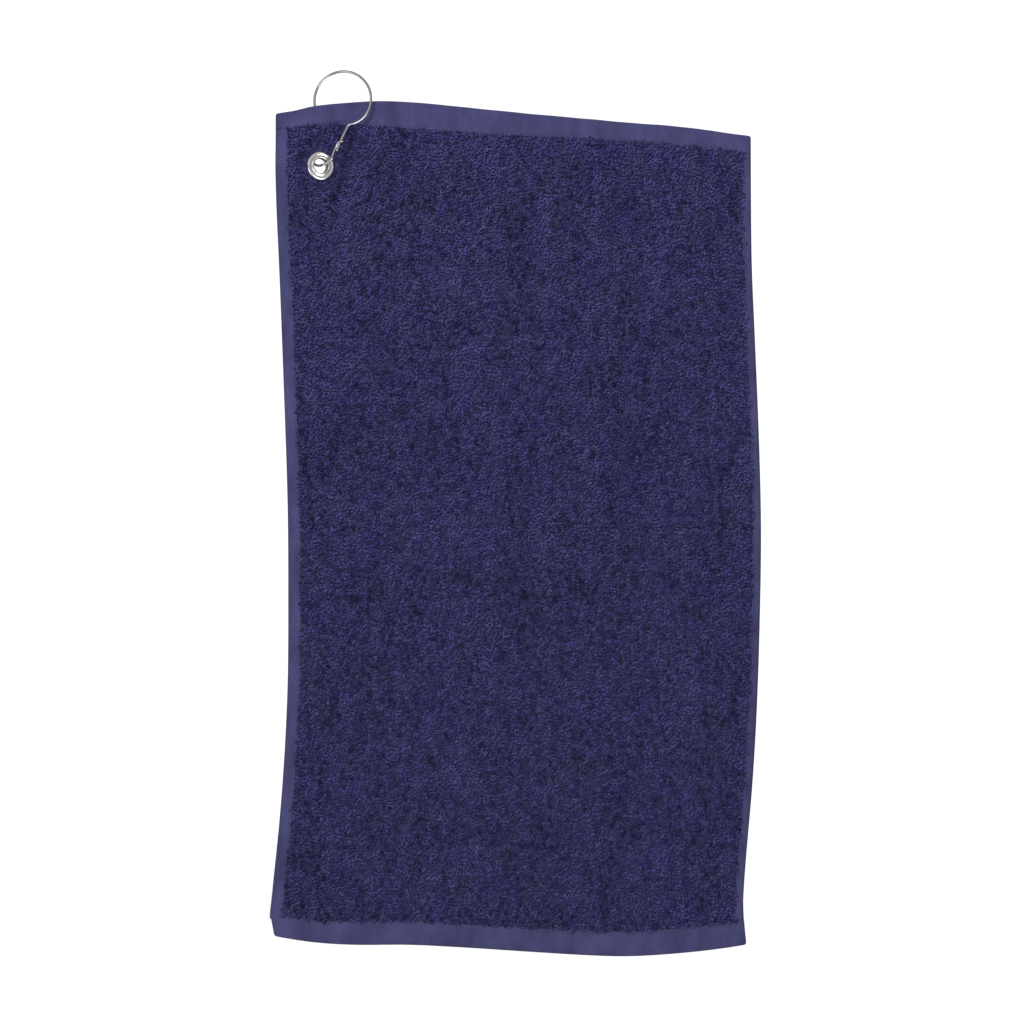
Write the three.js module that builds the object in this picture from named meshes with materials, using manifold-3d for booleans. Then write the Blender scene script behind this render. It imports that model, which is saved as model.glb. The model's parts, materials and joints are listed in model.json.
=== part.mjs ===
// A golf towel: terry cloth with sewn hems, a metal grommet in one corner, and a spring-wire ring
// that goes through the grommet and round the towel's top edge.
//
// The towel hangs in the XZ plane with its front towards -Y and +Z up. The origin is in the middle
// of the towel, on its back face. Every length is in millimetres.

import * as THREE from 'three';
import { mergeVertices } from 'three/addons/utils/BufferGeometryUtils.js';
import Module from 'manifold-3d';

// Cloth
const TERRY_THICKNESS = 4.4; // base cloth with its loops on both faces
const HEM_THICKNESS = 2.8; // flat-woven cloth, turned in and sewn
const HEM_ROUNDING = 0.7; // rounded fold along a hem
const MIDDLE_Y = -TERRY_THICKNESS / 2; // the plane that halves the cloth's thickness
const GAP = 0.3; // left between pieces that touch on the real towel

// The towel's edges, as smooth curves. A side edge is [height, x], and an end edge is
// [fraction of the width, height]. The cloth hangs a little bowed, so no edge is quite straight.
const LEFT_EDGE = [
  [-248, -145.9], [-243.5, -148.6], [-237, -149.8], [-222, -148.5], [-180, -144.2], [-137, -140.9],
  [-94, -138.9], [-30, -138.5], [13, -138.8], [98, -141.6], [162, -144.1], [205, -146], [255, -146.2],
];
const RIGHT_EDGE = [
  [-252, 140.8], [-243, 140.1], [-232, 138.7], [-222, 138.9], [-200, 140.4], [-158, 144.1], [-115, 146.8],
  [-51, 149], [3, 149.7], [55, 148.5], [119, 145.9], [162, 144.1], [205, 143.6], [240, 143.5],
];
const TOP_EDGE = [
  [0, 254.9], [0.03, 256], [0.08, 259.5], [0.13, 261], [0.22, 262.6], [0.28, 262],
  [0.47, 256.7], [0.73, 249.8], [0.85, 246.8], [0.98, 241.7], [1, 241],
];
const BOTTOM_EDGE = [
  [0, -246.6], [0.06, -249.7], [0.16, -252], [0.29, -252.2], [0.42, -253.8],
  [0.55, -256.6], [0.67, -258.5], [0.74, -259], [0.8, -258.3], [0.93, -254.6], [1, -251.6],
];

// Hems: the side hems have one width, and the end hems are [fraction of the width, depth].
const LEFT_HEM = 0.028; // fraction of the towel's width
const RIGHT_HEM = 0.02;
const TOP_HEM = [[0, 10.5], [0.05, 11.5], [0.25, 17], [0.47, 15.5], [0.7, 12.7], [1, 11.5]];
const BOTTOM_HEM = [[0, 14.5], [0.3, 15], [0.5, 15.3], [0.75, 16], [1, 15.5]];
const CORNER_RADIUS = 1.5;
const CORNER_DIVISIONS = 4;
const SIDE_DIVISIONS = 14; // straight pieces along a third of a side
const END_DIVISIONS = 26; // straight pieces along the top or the bottom
const HEM_END_DIVISIONS = 4; // straight pieces across the end of a top or bottom hem

// The towel folds in thirds, along two level lines.
const UPPER_FOLD_Z = 88;
const LOWER_FOLD_Z = -84;

// Sewing thread
const THREAD_WIDTH = 0.5;
const SEAM_INSET = 1.6; // from the hem's inner edge

// Grommet: radii, and heights from the middle of the cloth towards the front
const GROMMET_FROM_LEFT = 28;
const GROMMET_FROM_TOP = 37.6;
const BORE_RADIUS = 4.6;
const BARREL_RADIUS = 5.2;
const LIP_RADIUS = 5.3; // the crest of the curled lip round the bore
const LIP_HEIGHT = 2.75;
const GROOVE_RADIUS = 6.2; // between the lip and the flange
const GROOVE_HEIGHT = 2.05;
const CROWN_RADIUS = 7.4; // the highest ring of the flange
const CROWN_HEIGHT = 2.4;
const FLANGE_RADIUS = 8.85;
const WEB_HALF_THICKNESS = 0.8; // the cloth pressed between flange and washer
const WASHER_RADIUS = 8.7;
const WASHER_THICKNESS = 0.6;
const RIM_RADIUS = 6.9; // the barrel's end, rolled over the washer
const RIM_DEPTH = 0.85;
const GROMMET_SIDES = 36;
const CUTTER_SIDES = 32;

// Spring-wire ring, in its own frame: along its long axis, across it, and out towards the front.
// The start of the frame is the middle of the grommet's bore.
const WIRE_RADIUS = 0.75;
const RING_LEAN = THREE.MathUtils.degToRad(18); // of the long axis, to the right of upright
const LOOP_RADIUS = 17.5;
const LOOP_CENTRE = 42.6; // along the long axis
const NECK_ANGLE = THREE.MathUtils.degToRad(32); // where the loop meets the neck, from its lowest point
const LEG_STANDOFF = 4.3; // from the middle of the cloth
const HOOK_STANDOFF = 1.95; // from the arm to the catch's hook, which crosses over it
const WIRE_SIDES = 8;
const LOOP_DIVISIONS = 12; // of half the loop
const RING_STEPS = 72; // straight pieces along the ring's fixed run
const ARM_STEPS = 44; // and along its arm

const COLOURS = {
  terry: { color: 0x2e2c50, roughness: 0.95, metalness: 0 },
  hem: { color: 0x4a4872, roughness: 0.9, metalness: 0 },
  thread: { color: 0x35335c, roughness: 0.8, metalness: 0 },
  nickel: { color: 0xc9c8c4, roughness: 0.22, metalness: 1 },
  steel: { color: 0xb4b4b2, roughness: 0.2, metalness: 1 },
};

const wasm = await Module();
wasm.setup();

const group = new THREE.Group();

function addPiece(name, geometry, finish) {
  const mesh = new THREE.Mesh(geometry, new THREE.MeshStandardMaterial(COLOURS[finish]));
  mesh.name = name;
  group.add(mesh);
}

// --- The towel's outline ------------------------------------------------------------------------

// A smooth function through knots of [position, value].
function smoothFunction(knots) {
  const positions = knots.map(([position]) => position);
  const values = knots.map(([, value]) => value);
  const interpolant = new THREE.CubicInterpolant(positions, values, 1);
  return (position) => interpolant.evaluate(position)[0];
}

const leftEdge = smoothFunction(LEFT_EDGE);
const rightEdge = smoothFunction(RIGHT_EDGE);
const topEdge = smoothFunction(TOP_EDGE);
const bottomEdge = smoothFunction(BOTTOM_EDGE);
const topHemDepth = smoothFunction(TOP_HEM);
const bottomHemDepth = smoothFunction(BOTTOM_HEM);

const topHemLine = (across) => topEdge(across) - topHemDepth(across);
const bottomHemLine = (across) => bottomEdge(across) + bottomHemDepth(across);

// The point of the cloth at a fraction of its width and at a height.
function clothPoint(across, height) {
  const x = THREE.MathUtils.lerp(leftEdge(height), rightEdge(height), across);
  return new THREE.Vector2(x, height);
}

// Points along the cloth at one fraction of its width, from one height to another.
function uprightLine(across, fromHeight, toHeight, divisions) {
  const points = [];
  for (let i = 0; i <= divisions; i += 1) {
    points.push(clothPoint(across, THREE.MathUtils.lerp(fromHeight, toHeight, i / divisions)));
  }
  return points;
}

// Points along the cloth at the height that a function gives, from one fraction to another.
function levelLine(heightAt, fromAcross, toAcross, divisions) {
  const points = [];
  for (let i = 0; i <= divisions; i += 1) {
    const across = THREE.MathUtils.lerp(fromAcross, toAcross, i / divisions);
    points.push(clothPoint(across, heightAt(across)));
  }
  return points;
}

// Joins four sides into one outline. Each corner is rounded by its own radius, in the order
// low left, low right, high right, high left.
function outlineOf(sides, radii) {
  const outline = [];
  sides.forEach((side, i) => {
    const corner = side[0];
    const previousSide = sides[(i + sides.length - 1) % sides.length];
    const before = previousSide[previousSide.length - 2];
    if (radii[i] > 0) {
      const start = corner.clone().add(before.clone().sub(corner).setLength(radii[i]));
      const end = corner.clone().add(side[1].clone().sub(corner).setLength(radii[i]));
      outline.push(...new THREE.QuadraticBezierCurve(start, corner, end).getPoints(CORNER_DIVISIONS));
    } else {
      outline.push(corner);
    }
    outline.push(...side.slice(1, -1));
  });
  return outline;
}

// The outline of a piece of cloth between two fractions of the width and two level lines.
function clothOutline({ left, right, low, high, acrossDivisions, upDivisions, radii = [0, 0, 0, 0] }) {
  const sides = [
    levelLine(low, left, right, acrossDivisions),
    uprightLine(right, low(right), high(right), upDivisions),
    levelLine(high, right, left, acrossDivisions),
    uprightLine(left, high(left), low(left), upDivisions),
  ];
  return outlineOf(sides, radii);
}

// A flat slab of cloth, centred on the middle of the cloth's thickness.
function slab(outline, thickness, rounding) {
  const geometry = new THREE.ExtrudeGeometry(new THREE.Shape(outline), {
    depth: thickness - 2 * rounding,
    bevelEnabled: rounding > 0,
    bevelThickness: rounding,
    bevelSize: rounding,
    bevelOffset: -rounding,
    bevelSegments: 1,
  });
  geometry.rotateX(Math.PI / 2);
  geometry.translate(0, MIDDLE_Y + thickness / 2 - rounding, 0);
  return geometry;
}

// --- Cutting one closed solid with another ------------------------------------------------------

const WELD_DISTANCE = 1e-4; // vertices closer than this are one vertex

function toSolid(geometry) {
  const bare = geometry.clone();
  bare.deleteAttribute('normal');
  bare.deleteAttribute('uv');
  const welded = mergeVertices(bare, WELD_DISTANCE);
  return new wasm.Manifold(new wasm.Mesh({
    numProp: 3,
    vertProperties: new Float32Array(welded.attributes.position.array),
    triVerts: new Uint32Array(welded.index.array),
  }));
}

function toGeometry(solid) {
  const { vertProperties, triVerts } = solid.getMesh();
  const geometry = new THREE.BufferGeometry();
  geometry.setAttribute('position', new THREE.BufferAttribute(vertProperties, 3));
  geometry.setIndex(new THREE.BufferAttribute(triVerts, 1));
  geometry.computeVertexNormals();
  return geometry;
}

// --- Terry panels and hems ----------------------------------------------------------------------

const towelWidth = rightEdge(UPPER_FOLD_Z) - leftEdge(UPPER_FOLD_Z);
const gapAcross = GAP / towelWidth; // the gap as a fraction of the width
const upperFoldLine = () => UPPER_FOLD_Z;
const lowerFoldLine = () => LOWER_FOLD_Z;
const raised = (line) => (across) => line(across) + GAP / 2;
const lowered = (line) => (across) => line(across) - GAP / 2;

const thirds = {
  upper: { low: raised(upperFoldLine), high: lowered(topHemLine) },
  middle: { low: raised(lowerFoldLine), high: lowered(upperFoldLine) },
  lower: { low: raised(bottomHemLine), high: lowered(lowerFoldLine) },
};

const grommetAcross = GROMMET_FROM_LEFT / towelWidth;
const grommetCentre = clothPoint(grommetAcross, topEdge(grommetAcross) - GROMMET_FROM_TOP);

// A round cutter along Y, between two heights from the middle of the cloth towards the front.
function roundCutter(radius, fromHeight, toHeight) {
  const cutter = new THREE.CylinderGeometry(radius, radius, toHeight - fromHeight, CUTTER_SIDES);
  cutter.translate(grommetCentre.x, MIDDLE_Y - (fromHeight + toHeight) / 2, grommetCentre.y);
  return toSolid(cutter);
}

// The pile is pressed flat under the flange and under the washer, and the barrel goes through.
function cutForGrommet(panel) {
  const seatRadius = FLANGE_RADIUS + GAP;
  const beyond = TERRY_THICKNESS;
  const cut = toSolid(panel)
    .subtract(roundCutter(BARREL_RADIUS + GAP, -beyond, beyond))
    .subtract(roundCutter(seatRadius, WEB_HALF_THICKNESS, beyond))
    .subtract(roundCutter(seatRadius, -beyond, -WEB_HALF_THICKNESS));
  return toGeometry(cut);
}

function terryPanel(third) {
  const outline = clothOutline({
    left: LEFT_HEM + gapAcross / 2,
    right: 1 - RIGHT_HEM - gapAcross / 2,
    low: thirds[third].low,
    high: thirds[third].high,
    acrossDivisions: END_DIVISIONS,
    upDivisions: SIDE_DIVISIONS,
  });
  return slab(outline, TERRY_THICKNESS, 0);
}

function sideHem(third, left, right) {
  const outline = clothOutline({
    left,
    right,
    low: thirds[third].low,
    high: thirds[third].high,
    acrossDivisions: 1,
    upDivisions: SIDE_DIVISIONS,
  });
  return slab(outline, HEM_THICKNESS, HEM_ROUNDING);
}

function endHem(low, high, radii) {
  const outline = clothOutline({
    left: 0,
    right: 1,
    low,
    high,
    acrossDivisions: END_DIVISIONS,
    upDivisions: HEM_END_DIVISIONS,
    radii,
  });
  return slab(outline, HEM_THICKNESS, HEM_ROUNDING);
}

addPiece('terry_upper', cutForGrommet(terryPanel('upper')), 'terry');
addPiece('terry_middle', terryPanel('middle'), 'terry');
addPiece('terry_lower', terryPanel('lower'), 'terry');
for (const third of Object.keys(thirds)) {
  addPiece(`left_hem_${third}`, sideHem(third, 0, LEFT_HEM - gapAcross / 2), 'hem');
  addPiece(`right_hem_${third}`, sideHem(third, 1 - RIGHT_HEM + gapAcross / 2, 1), 'hem');
}
const topCorners = [0, 0, CORNER_RADIUS, CORNER_RADIUS];
const bottomCorners = [CORNER_RADIUS, CORNER_RADIUS, 0, 0];
addPiece('hem_top', endHem(raised(topHemLine), topEdge, topCorners), 'hem');
addPiece('hem_bottom', endHem(bottomEdge, lowered(bottomHemLine), bottomCorners), 'hem');

// --- Sewing thread ------------------------------------------------------------------------------

// One strand along a line on the cloth. The needle thread lies on the front and the bobbin thread
// on the back.
function strand(line, isFront) {
  const side = isFront ? -1 : 1;
  const y = MIDDLE_Y + side * (HEM_THICKNESS / 2 + GAP + THREAD_WIDTH / 2);
  const path = new THREE.CatmullRomCurve3(line.map((point) => new THREE.Vector3(point.x, y, point.y)));
  const half = THREAD_WIDTH / 2;
  const section = new THREE.Shape([[-half, -half], [half, -half], [half, half], [-half, half]]
    .map(([x, height]) => new THREE.Vector2(x, height)));
  return new THREE.ExtrudeGeometry(section, { steps: line.length - 1, extrudePath: path });
}

function addSeam(name, line) {
  addPiece(`${name}_needle_thread`, strand(line, true), 'thread');
  addPiece(`${name}_bobbin_thread`, strand(line, false), 'thread');
}

const seamInsetAcross = SEAM_INSET / towelWidth;
const leftSeam = LEFT_HEM - seamInsetAcross;
const rightSeam = 1 - RIGHT_HEM + seamInsetAcross;
const topSeamLine = (across) => topHemLine(across) + SEAM_INSET;
const bottomSeamLine = (across) => bottomHemLine(across) - SEAM_INSET;
addSeam('top', levelLine(topSeamLine, leftSeam, rightSeam, END_DIVISIONS));
addSeam('bottom', levelLine(bottomSeamLine, leftSeam, rightSeam, END_DIVISIONS));
for (const [third, { low, high }] of Object.entries(thirds)) {
  for (const [side, seam] of Object.entries({ left: leftSeam, right: rightSeam })) {
    addSeam(`${side}_${third}`, uprightLine(seam, low(seam) + GAP, high(seam) - GAP, SIDE_DIVISIONS));
  }
}

// --- Grommet ------------------------------------------------------------------------------------

// Turns a closed profile of [radius, height] about the grommet's axis. Height runs from the middle
// of the cloth towards the front.
function turned(profile) {
  const closed = [...profile, profile[0]].map(([radius, height]) => new THREE.Vector2(radius, height));
  const geometry = new THREE.LatheGeometry(closed, GROMMET_SIDES);
  geometry.rotateX(Math.PI);
  geometry.translate(grommetCentre.x, MIDDLE_Y, grommetCentre.y);
  return geometry;
}

// Flange, groove and lip on the front, the barrel through the cloth, and the rim that is rolled
// over the washer at the back.
function eyelet() {
  const flangeBack = WEB_HALF_THICKNESS + GAP;
  const rimFront = -(flangeBack + WASHER_THICKNESS + GAP);
  const rimBack = rimFront - RIM_DEPTH;
  return turned([
    [BORE_RADIUS, rimFront - RIM_DEPTH / 3],
    [BORE_RADIUS, GROOVE_HEIGHT],
    [(BORE_RADIUS + LIP_RADIUS) / 2, LIP_HEIGHT - 0.15],
    [LIP_RADIUS, LIP_HEIGHT],
    [(LIP_RADIUS + GROOVE_RADIUS) / 2, LIP_HEIGHT - 0.25],
    [GROOVE_RADIUS, GROOVE_HEIGHT],
    [CROWN_RADIUS - 0.4, CROWN_HEIGHT - 0.05],
    [CROWN_RADIUS + 0.4, CROWN_HEIGHT - 0.05],
    [FLANGE_RADIUS - 0.25, CROWN_HEIGHT - 0.6],
    [FLANGE_RADIUS, flangeBack],
    [BARREL_RADIUS, flangeBack],
    [BARREL_RADIUS, rimFront],
    [RIM_RADIUS, rimFront],
    [RIM_RADIUS - 0.2, rimBack + 0.3],
    [(BARREL_RADIUS + RIM_RADIUS) / 2, rimBack],
    [BARREL_RADIUS, rimBack + 0.15],
  ].reverse());
}

function washer() {
  const front = -(WEB_HALF_THICKNESS + GAP);
  const back = front - WASHER_THICKNESS;
  return turned([
    [BARREL_RADIUS + GAP, back],
    [WASHER_RADIUS - WASHER_THICKNESS / 2, back],
    [WASHER_RADIUS, front],
    [BARREL_RADIUS + GAP, front],
  ]);
}

addPiece('grommet_eyelet', eyelet(), 'nickel');
addPiece('grommet_washer', washer(), 'nickel');

// --- Spring-wire ring ---------------------------------------------------------------------------

// A point of the ring's own frame, in the towel's frame.
function ringPoint(along, across, out) {
  const x = grommetCentre.x + along * Math.sin(RING_LEAN) + across * Math.cos(RING_LEAN);
  const z = grommetCentre.y + along * Math.cos(RING_LEAN) - across * Math.sin(RING_LEAN);
  return new THREE.Vector3(x, MIDDLE_Y - out, z);
}

// The loop, by its angle from the lowest point, turning to the right and up. Its right side is in
// front of the towel, its left side is behind, and its top crosses over the towel's edge.
function loopPoint(angle) {
  const turn = THREE.MathUtils.clamp(angle, Math.PI / 2, 3 * Math.PI / 2) - Math.PI / 2;
  return ringPoint(
    LOOP_CENTRE - LOOP_RADIUS * Math.cos(angle),
    LOOP_RADIUS * Math.sin(angle),
    LEG_STANDOFF * Math.cos(turn),
  );
}

function loopArc(fromAngle, toAngle, divisions) {
  const points = [];
  for (let i = 0; i <= divisions; i += 1) {
    points.push(loopPoint(THREE.MathUtils.lerp(fromAngle, toAngle, i / divisions)));
  }
  return points;
}

function wire(points, steps) {
  const section = new THREE.Shape();
  section.absarc(0, 0, WIRE_RADIUS, 0, 2 * Math.PI);
  const path = new THREE.CatmullRomCurve3(points, false, 'centripetal');
  return new THREE.ExtrudeGeometry(section, { steps, curveSegments: WIRE_SIDES / 2, extrudePath: path });
}

// The wire springs open where it is longest from the catch, at the top of the loop. The ring is
// one wire there, and it is parted by a gap so that its arm can swing.
const springAngle = Math.PI;
const halfGapAngle = GAP / 2 / LOOP_RADIUS;

// From the catch on the front neck, down through the bore, up behind the towel, to the spring.
const ringPoints = [
  ringPoint(19.6, 8.6, LEG_STANDOFF + HOOK_STANDOFF),
  ringPoint(18.6, 7.2, LEG_STANDOFF + HOOK_STANDOFF),
  ringPoint(17.2, 6, LEG_STANDOFF + 1.4),
  ringPoint(14.8, 5.2, LEG_STANDOFF + 0.2),
  ringPoint(11, 4.8, LEG_STANDOFF),
  ringPoint(7.4, 5.1, LEG_STANDOFF),
  ringPoint(3.5, 4.4, LEG_STANDOFF + 0.2),
  ringPoint(0.8, 2.2, 3),
  ringPoint(0, 0, 0),
  ringPoint(0.8, -2.2, -3),
  ringPoint(3.5, -4.4, -LEG_STANDOFF - 0.2),
  ringPoint(9, -6, -LEG_STANDOFF),
  ringPoint(18, -7, -LEG_STANDOFF),
  ringPoint(24.5, -7.8, -LEG_STANDOFF),
  ...loopArc(2 * Math.PI - NECK_ANGLE, springAngle + halfGapAngle, LOOP_DIVISIONS),
];

// From the spring, over the top edge and down the front, to the arm's tip beside the catch.
const armPoints = [
  ...loopArc(springAngle - halfGapAngle, NECK_ANGLE, LOOP_DIVISIONS),
  ringPoint(24.5, 8, LEG_STANDOFF),
  ringPoint(19, 7.7, LEG_STANDOFF),
  ringPoint(15.5, 7.3, LEG_STANDOFF),
  ringPoint(12, 6.9, LEG_STANDOFF),
];

addPiece('ring_wire', wire(ringPoints, RING_STEPS), 'steel');
addPiece('ring_arm', wire(armPoints, ARM_STEPS), 'steel');

export default group;
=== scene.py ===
import json
import math

import bpy
import numpy as np
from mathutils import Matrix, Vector


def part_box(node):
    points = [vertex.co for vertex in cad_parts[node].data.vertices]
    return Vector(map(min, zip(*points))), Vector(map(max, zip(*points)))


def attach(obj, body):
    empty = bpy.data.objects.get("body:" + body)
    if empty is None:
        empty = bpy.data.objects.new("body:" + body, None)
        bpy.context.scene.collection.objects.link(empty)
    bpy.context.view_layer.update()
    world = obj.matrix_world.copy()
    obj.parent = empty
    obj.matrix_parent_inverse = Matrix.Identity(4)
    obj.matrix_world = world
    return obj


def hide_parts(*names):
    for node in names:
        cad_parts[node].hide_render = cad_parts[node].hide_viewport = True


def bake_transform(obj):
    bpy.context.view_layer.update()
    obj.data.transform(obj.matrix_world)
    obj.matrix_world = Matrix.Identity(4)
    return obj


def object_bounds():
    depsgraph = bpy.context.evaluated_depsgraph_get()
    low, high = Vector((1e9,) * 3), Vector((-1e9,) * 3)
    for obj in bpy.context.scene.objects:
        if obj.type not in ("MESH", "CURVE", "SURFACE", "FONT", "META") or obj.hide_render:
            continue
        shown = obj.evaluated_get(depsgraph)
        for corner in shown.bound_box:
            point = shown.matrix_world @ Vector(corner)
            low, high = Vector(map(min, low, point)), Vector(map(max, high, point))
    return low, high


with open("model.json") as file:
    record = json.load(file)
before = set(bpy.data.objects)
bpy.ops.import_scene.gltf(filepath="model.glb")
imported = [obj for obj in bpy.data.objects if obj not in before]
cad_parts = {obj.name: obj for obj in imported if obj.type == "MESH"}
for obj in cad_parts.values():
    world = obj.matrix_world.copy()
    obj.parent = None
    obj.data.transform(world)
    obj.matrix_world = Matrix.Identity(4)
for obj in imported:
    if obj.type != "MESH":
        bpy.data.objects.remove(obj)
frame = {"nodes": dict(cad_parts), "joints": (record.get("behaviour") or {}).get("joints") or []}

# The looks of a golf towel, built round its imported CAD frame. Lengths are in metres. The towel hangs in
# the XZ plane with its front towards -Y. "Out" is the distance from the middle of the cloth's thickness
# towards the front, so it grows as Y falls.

cad_low, cad_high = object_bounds()

MM = 0.001
SEED = 20

# Pile: yarn loops that stand on both faces of the base cloth.
FRONT_PITCH = 1.8 * MM  # from one loop to the next
BACK_PITCH = 1.9 * MM
YARN_RADIUS = 0.6 * MM
LOOP_SPAN = 1.6 * MM  # between a loop's two feet
LOOP_HEIGHT = 1.25 * MM
LOOP_LEAN = 0.95 * MM  # how far a loop's head falls to one side
LOOP_RINGS = 4
FOOT_OUT = 0.48 * MM  # of a loop's feet from the middle of the cloth
FLANGE_PRESS = 5 * MM  # beyond the flange, over which the loops rise to their full height
PILE_OVERHANG = 0.9 * MM  # how far the last loops' feet lie under the hems' inner edges
HEADING_SPREAD = 0.85  # radians, of the loops about level
PILE_STRIPS = 5  # pieces that the pile is parted into across the width, to keep each one light
FOOT_SHAKE = 0.38  # how far a loop's foot may leave its place, in pitches
LAY_SIZE = 7 * MM  # of the patches in which the loops lean the same way
LAY_SQUEEZE = 0.6

# Noise layers: strength, size, squeeze in height and seed. A squeeze below 1 makes upright streaks.
SHADE_LAYERS = (
    (0.4, 15 * MM, 0.3, 11),  # broad streaks
    (0.8, 5 * MM, 0.4, 12),  # narrow streaks
    (0.15, 45 * MM, 1, 13),  # clouds
    (2.6, 1.9 * MM, 0.8, 14),  # tufts of a few loops
)
HUE_LAYERS = (
    (1, 5 * MM, 0.6, 31),
    (0.6, 11 * MM, 1, 32),
)
RAGGED_LAYERS = ((0.9 * MM, 2.5 * MM, 1, 18),)  # the pile's edge along the hems
CLUMP_LAYERS = ((1, 3.4 * MM, 0.8, 17),)  # loops that stand higher together, which the shade also paints lighter, and darker where they stand lower

# Base cloth: the woven ground under the loops.
BASE_HALF_THICKNESS = 0.8 * MM
BASE_CELL = 2.5 * MM
BASE_OVERHANG = 1.2 * MM  # how far the base cloth runs on under the hems, beyond one cell
CELL_SIDES = (  # the step to the neighbour beyond a side, and the side's two ends
    ((-1, 0), (0, 1), (0, 0)),
    ((1, 0), (1, 0), (1, 1)),
    ((0, -1), (0, 0), (1, 0)),
    ((0, 1), (1, 1), (0, 1)),
)

# Hems
RIB_PITCH = 1.15 * MM
RIB_RELIEF = 0.035 * MM
SEAM_INSET = 1.6 * MM  # from the hem's inner edge
STITCH_LENGTH = 3.1 * MM
THREAD_RADIUS = 0.2 * MM
TUCK = 2.5 * MM  # how far a side hem runs on under an end hem
SEAM_DEPTH = 0.14 * MM  # of the groove that the stitches pull into the hem
SEAM_WIDTH = 0.5 * MM
PUCKER = 0.08 * MM  # how far the hem swells between two stitches
PUCKER_WIDTH = 1.6 * MM
GRAIN_SIZE = 1.1 * MM  # of the weave's slubs
FOLD_SHADE_WIDTH = 0.6 * MM  # of the painted shade along a hem's outer fold
SWELL_LAYERS = (  # how uneven a hem's thickness is, as noise layers
    (0.16 * MM, 13 * MM, 1, 22),
    (0.1 * MM, 5 * MM, 1, 23),
)
INNER_ROUNDING = 0.9 * MM  # over which a hem thins towards its inner edge
INNER_EDGE_SHARE = 0.62  # of the hem's thickness that is left at its inner edge
CORNER_RADIUS = 1.5 * MM
CORNER_SWELL = 0.3 * MM  # where the side hem is folded into the end hem

# Metal
WIRE_RADIUS = 0.75 * MM
TURNED_SIDES = 96
NECK_ANGLE = math.radians(32)  # where the ring's loop meets its neck, from the loop's lowest point
NECK_PULL = 1.2 * MM  # how far the loop is drawn in beside its neck
NECK_PULL_SPREAD = math.radians(32)
LOOP_SHIFT = 0.4 * MM  # of the used loop, to the left

# The ring's pull turns the grommet, and dishes the cloth round it.
GROMMET_TILT = math.radians(26)  # about the upright, to face a little to the right
GROMMET_SHIFT = np.array([-1.1, 0, 0.3]) * MM  # of the grommet, which the ring draws along
DISH_FLAT = 10 * MM  # from the grommet's middle, where the cloth lies in the grommet's own plane
DISH_END = 36 * MM  # where the dish ends

# Studio
FLOOR_DROP = 0.6  # from the towel's lowest point
SURROUND_STRENGTH = 1.12
ROOM_GLOW = 0.16  # the dim room that only the metal mirrors
ROOM_WALLS = (  # direction, cosines at which a wall's light starts and is full, and its strength
    ((0, -1, 0), -0.3, 0.6, 0.4),
    ((0.48, -0.57, -0.67), 0.88, 0.97, 4.5),
    ((-0.62, -0.6, -0.5), 0.9, 0.97, 1.6),
    ((-0.7, -0.6, 0.4), 0.9, 0.98, 0.8),
)
LENS = 100  # millimetres
FRAME_WIDTH = 1.1548  # of the picture, in heights of the towel
VIEW_SHIFT = Vector((-2, 0, 0.8)) * MM  # of the camera from the towel's middle

# Drape
SHEET_COLUMNS = 31
SHEET_ROWS = 55
SHEET_FRAMES = 30
SHEET_GROWTH = 0.006  # how much a used towel has grown past its edges, as a fraction
SHEET_START = 1.5 * MM
MOST_SAG = 3.5 * MM  # how far the draped cloth may leave the flat
CALM_RADIUS = 40.5 * MM  # from the bore, where the cloth doesn't sag
CALM_SPREAD = 90 * MM  # beyond that, over which the sag grows to its full depth

random = np.random.default_rng(SEED)


# --- Reading the frame ------------------------------------------------------------------------------

def node_points(*names):
    """Every vertex of these CAD nodes, one row each."""
    return np.array([v.co for name in names for v in frame["nodes"][name].data.vertices])


def joint(name):
    return next(j for j in frame["joints"] if j["name"] == name)


def smooth_line(along, out, spacing=1 * MM, softness=3 * MM):
    """A function that gives a place out at any place along, through these points with soft bends.

    Beyond the first and the last point it runs straight on.
    """
    order = np.argsort(along)
    grid = np.arange(along.min(), along.max() + spacing, spacing)
    values = np.interp(grid, along[order], out[order])
    reach = int(3 * softness / spacing)
    kernel = np.exp(-0.5 * (np.arange(-reach, reach + 1) * spacing / softness) ** 2)
    padded = np.pad(values, reach, mode="reflect", reflect_type="odd")
    softened = np.convolve(padded, kernel / kernel.sum(), mode="valid")
    first_slope = (softened[1] - softened[0]) / spacing
    last_slope = (softened[-1] - softened[-2]) / spacing

    def line(place):
        before = np.minimum(place - grid[0], 0) * first_slope
        after = np.maximum(place - grid[-1], 0) * last_slope
        return np.interp(place, grid, softened) + before + after

    return line


def widest_points(*names):
    """The vertices of these hem nodes on their widest outline, between the two rounded folds."""
    points = node_points(*names)
    return points[np.abs(points[:, 1] - middle_y) < HEM_HALF_THICKNESS * 0.7]


def traced_side(side):
    """The outer and the inner edge of the left or the right hem, as x at a height."""
    outward = -1 if side == "left" else 1
    thirds = ("lower", "middle", "upper")
    thread = node_points(*[f"{side}_{third}_needle_thread" for third in thirds])
    seam = smooth_line(thread[:, 2], thread[:, 0])
    hems = widest_points(*[f"{side}_hem_{third}" for third in thirds])
    outlines = np.concatenate([hems, widest_points("hem_top", "hem_bottom")])
    outer = outlines[(outlines[:, 0] - seam(outlines[:, 2])) * outward > 0]
    bottom_corner, top_corner = outer[:, 2].min(), outer[:, 2].max()
    from_corners = np.minimum(outer[:, 2] - bottom_corner, top_corner - outer[:, 2])
    outer = outer[from_corners > 0.9 * CORNER_RADIUS]
    inner = hems[(hems[:, 0] - seam(hems[:, 2])) * outward < 0]
    return smooth_line(outer[:, 2], outer[:, 0], softness=2 * MM), smooth_line(inner[:, 2], inner[:, 0])


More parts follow.
